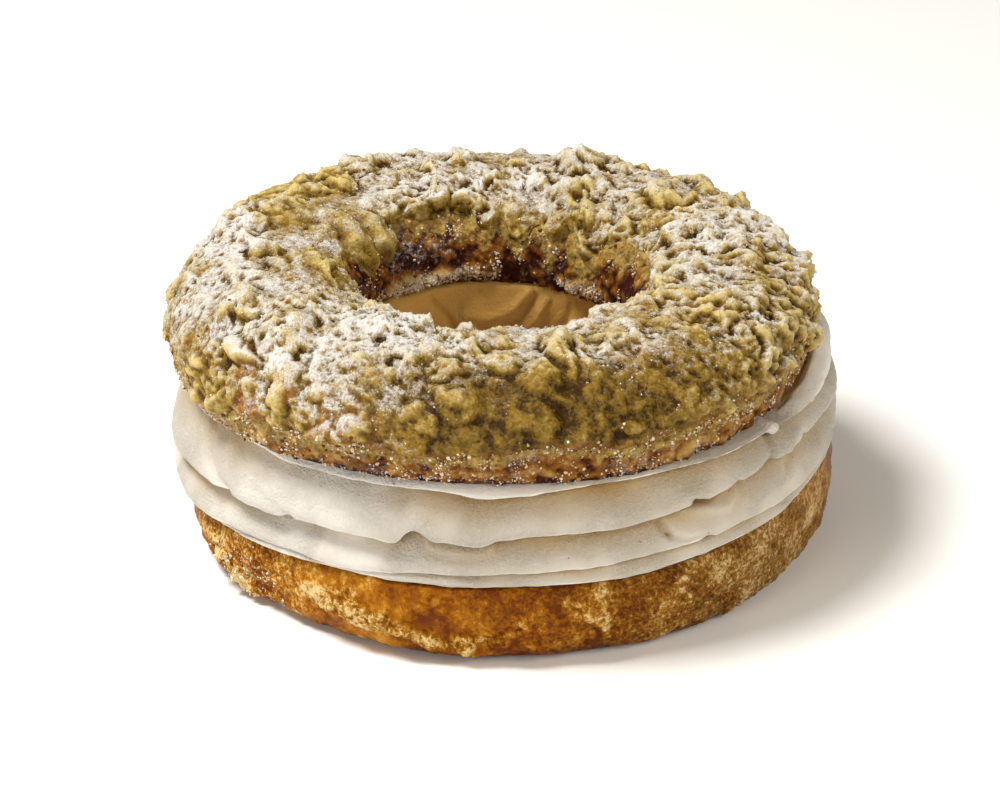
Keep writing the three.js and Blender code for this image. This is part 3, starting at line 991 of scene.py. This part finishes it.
def stamp(crags, theta, angle, warp, profile):
    """The highest of many lumps at each place, or the deepest of hollows, bent out of round by the warp."""
    field = np.zeros_like(angle)
    for degrees, section_degrees, across, along, height in crags:
        middle, section = radians(degrees), radians(section_degrees)
        radius = float(lid_point(middle, section, 0)[0])
        near = np.flatnonzero(np.abs(turn_from(theta, middle)) * radius < across + WARP_HEIGHT)
        far = (turn_from(theta[near], middle) * radius + warp[0][:, near]) / across
        deep = ((angle[:, near] - section) * SECTION_RADIUS + warp[1][:, near]) / along
        pick = np.maximum if height > 0 else np.minimum
        field[:, near] = pick(field[:, near], height * profile(np.hypot(far, deep)))
    return field


def coat_relief(theta, angle, warp):
    raised = [crag for crag in [*MAIN_CRAGS, *draw_lumps()] if crag[4] > 0]
    sunk = [crag for crag in MAIN_CRAGS if crag[4] < 0]
    return stamp(raised, theta, angle, warp, cap) + stamp(sunk, theta, angle, warp, hump)


def inward_share(theta, angle):
    """0 at the coat's borders, 1 where its crags have their full height."""
    from_outer = (angle - outer_border(theta)) / OUTER_FADE
    from_inner = (inner_border(theta) - angle) / INNER_FADE
    return 1 - hump(np.minimum(1, np.minimum(from_outer, from_inner)))


def dust_share(theta, angle, normals, points, near):
    """How much sugar lies on the coat: most where it faces up, more to the lit left as painted light, little
    on its wet front.
    """
    facing = smooth_step(0.0, 0.8, normals @ DUST_AND_LIGHT_SIDE)
    placed = swells(theta, MORE_DUST) + swell_at(theta, *DUSTY_CREST) * smooth_step(1.1, 1.5, angle)
    patches = 0.58 + placed + 0.45 * rough(points, 14, 3, 5) + 0.35 * rough(points, 4, 3, 6)
    # Sugar is kept out of the creases so that they stay dark, partly as painted shade.
    open_share = np.clip(1 + 3.5 * near, 0.05, 1)
    return np.clip(facing * patches * open_share * (1 - 0.85 * wet_front(theta, angle)), 0, 1)


def wet_front(theta, angle):
    """1 on the smooth wet paste of the coat's front, 0 elsewhere."""
    return swell_at(theta, *WET_FRONT) * smooth_step(1.35, 0.85, angle)


def fine_crags(theta, angle, points, warp):
    """Relief too fine for the solid: flat-topped clumps, nubs and, on the right, streaks.

    It is lower on the wet front and on the smooth folds at the left of the hole.
    """
    folds = swell_at(theta, *SMOOTH_FOLDS) * smooth_step(1.5, 1.8, angle)
    lumpy = rough(points, 13, 2, 12) + swell_at(theta, *LUMPIEST)
    here = 0.15 + 0.85 * smooth_step(-0.2, 0.35, lumpy)
    clumps = 1.3 * smooth_step(0.0, 0.25, rough(points, 7, 2, 3))
    clumps = here * (clumps + 0.5 * smooth_step(0.0, 0.3, rough(points, 2.8, 3, 4)))
    nubs = here * stamp(draw_nubs(), theta, angle, warp, dome)
    streaks = swell_at(theta, *STREAKED) * rough(points * [0.3, 1, 0.7], 2.4, 3, 11)
    grain = 0.35 * rough(points, 2, 3, 13) + 0.2 * rough(points, 0.9, 2, 4)
    crags = clumps - 0.4 + 0.15 * nubs + 1.5 * streaks
    return np.maximum(0, 1 - 0.8 * wet_front(theta, angle) - folds) * crags + (1 - folds) * grain


def bare_share(theta, angle, points):
    """1 where the paste is so thin that the crust shows: at its lower edge, and in patches on the left."""
    low = smooth_step(-0.2, 0.0, angle) * smooth_step(0.75, 0.4, angle)
    ragged = smooth_step(0.08, 0.3, rough(points * [1, 1, 0.6], 4.5, 3, 15))
    patches = low * swell_at(theta, *THIN_PATCHES) * ragged
    above_edge = angle - outer_border(theta)
    edge = smooth_step(0.35, 0.8, smooth_step(0.4, 0.05, above_edge) + 0.7 * rough(points, 2.2, 4, 16))
    return np.maximum(patches, 0.5 * edge)


def coat_looks(theta, angle, points, normals, relief):
    """The coat's sugar dust, how high its paste stands among the rest as painted highlight and shade, and the
    crystals at its lower edge.
    """
    # The paste is painted paler where it stands high and darker in creases, as painted highlight and painted
    # shade.
    near = relief - blur(relief, 6)
    far = relief - blur(relief, 60)
    wet = wet_front(theta, angle)
    # The front is painted darker too, partly for its wet paste and partly as painted shade.
    height = np.clip(0.45 + (1.2 - 0.6 * wet) * near + 0.16 * far - 0.31 * wet, 0, 1)
    end = outer_border(theta)
    granules = 0.8 * smooth_step(end + 0.45, end, angle) + 0.7 * rough(points, 2.8, 3, 10)
    dust = dust_share(theta, angle, normals, points, near)
    return {"dust": dust, "relief": height, "crumbs": np.clip(granules, 0, 1) ** 2}


def make_coat(material):
    theta = slices(COAT_SLICES)
    start, end = inner_border(theta), outer_border(theta)
    angle = mix(start, end, np.linspace(0, 1, COAT_ROWS)[:, None])
    back = mix(end, start, np.linspace(0, 1, COAT_INNER_ROWS)[:, None])
    share = inward_share(theta, angle)
    smooth = ring_points(theta, LID_SHIFT, *lid_point(theta, angle, 0))
    warp = [WARP_HEIGHT * rough(smooth, WARP_SIZE, 2, seed) for seed in (7, 8)]
    relief = coat_relief(theta, angle, warp)
    thickness = mix(BORDER_THICKNESS, np.maximum(LEAST_THICKNESS, COAT_THICKNESS + relief), share)
    outside = ring_points(theta, LID_SHIFT, *lid_point(theta, angle, COAT_THICKNESS - thickness))
    inside = ring_points(theta, LID_SHIFT, *lid_point(theta, back, COAT_THICKNESS))
    normals = ring_normals(np.concatenate([smooth, inside]))[:COAT_ROWS]
    bare = bare_share(theta, angle, outside)
    fine = fine_crags(theta, angle, outside, warp) - 0.5 * bare
    outside = outside + normals * (fine * share)[..., None]
    points = np.concatenate([outside, inside])
    normals = ring_normals(points)[:COAT_ROWS]
    looks = coat_looks(theta, angle, outside, normals, relief + fine)
    looks["bare"] = bare
    looks["grit"] = share * smooth_step(-0.4, 0.4, rough(outside, 6, 3, 9))
    hidden = np.zeros_like(back)
    attributes = {key: np.concatenate([values, hidden]) for key, values in looks.items()}
    return add_ring("coat", "pistachio_coat", points, material, **attributes)


# Scattered sugar, crumbs and grit, each kind one joined mesh

# How many there are of each kind, their least and greatest radius, and the seed of their draw
SCATTERED = {
    "sugar_dust": (9000, (0.08, 0.17), 5),
    "sugar_crystals": (9000, (0.1, 0.28), 6),
    "crumbs": (6000, (0.12, 0.36), 7),
    "paste_grit": (3000, (0.15, 0.4), 8),
}
# How far things stray from the place drawn, and how much of their radius is sunk
SCATTER_SPREAD = 0.12
SUNK_SHARE = 0.5


def octahedron():
    corners = np.array([[1, 0, 0], [-1, 0, 0], [0, 1, 0], [0, -1, 0], [0, 0, 1], [0, 0, -1]], float)
    upper = [[0, 2, 4], [2, 1, 4], [1, 3, 4], [3, 0, 4]]
    lower = [[b, a, 5] for a, b, _ in upper]
    return corners, np.array(upper + lower)


def icosahedron():
    mesh = bmesh.new()
    bmesh.ops.create_icosphere(mesh, subdivisions=1, radius=1)
    corners = np.array([vertex.co for vertex in mesh.verts])
    faces = np.array([[vertex.index for vertex in face.verts] for face in mesh.faces])
    mesh.free()
    return corners, faces


def random_turns(draw, count):
    """Random rotations as 3 by 3 matrices."""
    turns = [Quaternion(parts).normalized() for parts in draw.normal(size=(count, 4)).tolist()]
    return np.array([turn.to_matrix() for turn in turns])


def vertex_vectors(pieces, key):
    """The places or normals of all the vertices of some pieces."""
    vectors = [np.empty(len(piece.data.vertices) * 3, np.float32) for piece in pieces]
    for piece, vector in zip(pieces, vectors):
        piece.data.vertices.foreach_get(key, vector)
    return np.concatenate(vectors).reshape(-1, 3).astype(float)


def vertex_values(pieces, key):
    """An attribute of all the vertices of some pieces."""
    values = [np.empty(len(piece.data.vertices), np.float32) for piece in pieces]
    for piece, value in zip(pieces, values):
        piece.data.attributes[key].data.foreach_get("value", value)
    return np.concatenate(values).astype(float)


def scatter(name, shape, carriers, key, material, copied=()):
    """Small things on the carriers' surfaces, thickest where an attribute of theirs is greatest."""
    count, sizes, seed = SCATTERED[name]
    draw = np.random.default_rng(seed)
    corners, faces = shape
    places = vertex_vectors(carriers, "co") / MM
    weights = np.clip(vertex_values(carriers, key) - 0.1, 0, 1)
    chosen = draw.choice(len(places), size=count, p=weights / weights.sum())
    size = mix(*sizes, draw.uniform(0, 1, (count, 1)) ** 1.5)
    sunk = SUNK_SHARE * size * vertex_vectors(carriers, "normal")[chosen]
    centres = places[chosen] - sunk + draw.normal(0, SCATTER_SPREAD, (count, 3))
    uneven = corners * draw.uniform(0.55, 1.35, (count, len(corners), 1))
    turned = np.einsum("nij,nkj->nki", random_turns(draw, count), uneven)
    vertices = centres[:, None, :] + turned * size[:, :, None]
    all_faces = faces[None] + len(corners) * np.arange(count)[:, None, None]
    values = {copy: vertex_values(carriers, copy)[chosen] for copy in copied}
    values["tone"] = draw.uniform(0, 1, count)
    attributes = {attribute: np.repeat(value, len(corners)) for attribute, value in values.items()}
    piece = add_mesh(name, vertices.reshape(-1, 3), all_faces.reshape(-1, 3), material, False, **attributes)
    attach(piece, "root")


def scatter_all(base, lid, coat, paste):
    sugar = sugar_look()
    crystal, crumb = octahedron(), icosahedron()
    crusts = [base, lid, coat]
    scatter("sugar_dust", crystal, [coat], "dust", sugar)
    scatter("sugar_crystals", crystal, crusts, "crumbs", sugar)
    scatter("crumbs", crumb, crusts, "crumbs", crumb_look())
    # The grit copies the coat's relief value, with its painted highlight and shade.
    scatter("paste_grit", crumb, [coat], "grit", paste, ("dust", "relief", "bare"))


# Floor, light and camera

FLOOR_RADIUS = 6
SKY_COLOUR = (1, 0.95, 0.86, 1)
SKY_STRENGTH = 0.12
# Each lamp's name, place and width in metres, power in watts, and colour
LAMPS = [
    ("key", (-0.36, -0.04, 0.74), 0.3, 8.0, (1, 0.99, 0.97)),
    ("left_fill", (-0.36, -0.48, 0.2), 0.3, 1.25, (1, 0.97, 0.92)),
    ("right_fill", (0.46, -0.28, 0.36), 0.4, 1.85, (1, 0.94, 0.84)),
]
LAMP_TARGET = (0, 0, 0.02)


def make_floor(material):
    bpy.ops.mesh.primitive_circle_add(vertices=96, radius=FLOOR_RADIUS, fill_type="NGON", location=(0, 0, 0))
    floor = bpy.context.object
    floor.name = "floor"
    floor.data.materials.append(material)


def aim(thing, target):
    direction = Vector(target) - thing.location
    thing.rotation_euler = direction.to_track_quat("-Z", "Y").to_euler()


def add_lamp(name, location, size, power, colour):
    light = bpy.data.lights.new(name, "AREA")
    light.shape = "DISK"
    light.size = size
    light.energy = power
    light.color = colour
    lamp = bpy.data.objects.new(name, light)
    lamp.location = location
    bpy.context.scene.collection.objects.link(lamp)
    aim(lamp, LAMP_TARGET)


def make_light():
    scene = bpy.context.scene
    scene.view_settings.view_transform = "Standard"
    world = bpy.data.worlds.new("studio")
    world.use_nodes = True
    sky = world.node_tree.nodes["Background"]
    sky.inputs["Color"].default_value = SKY_COLOUR
    sky.inputs["Strength"].default_value = SKY_STRENGTH
    scene.world = world
    for lamp in LAMPS:
        add_lamp(*lamp)


def make_camera():
    data = bpy.data.cameras.new("camera")
    data.sensor_width = SENSOR_WIDTH
    data.lens = SENSOR_WIDTH * CAMERA_DISTANCE * PIXELS_PER_MM / IMAGE_WIDTH
    data.clip_start = 0.01
    camera = bpy.data.objects.new("camera", data)
    target = Vector(CAMERA_AIM) * MM
    back = Vector((0, -cos(CAMERA_ELEVATION), sin(CAMERA_ELEVATION)))
    camera.location = target + back * CAMERA_DISTANCE * MM
    bpy.context.scene.collection.objects.link(camera)
    aim(camera, target)
    bpy.context.scene.camera = camera


def main():
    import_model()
    make_camera()
    make_light()
    make_floor(floor_look())
    base = make_base(golden_look())
    make_cream(cream_look())
    lid = make_lid(brown_look())
    paste = pistachio_look()
    coat = make_coat(paste)
    scatter_all(base, lid, coat, paste)


main()
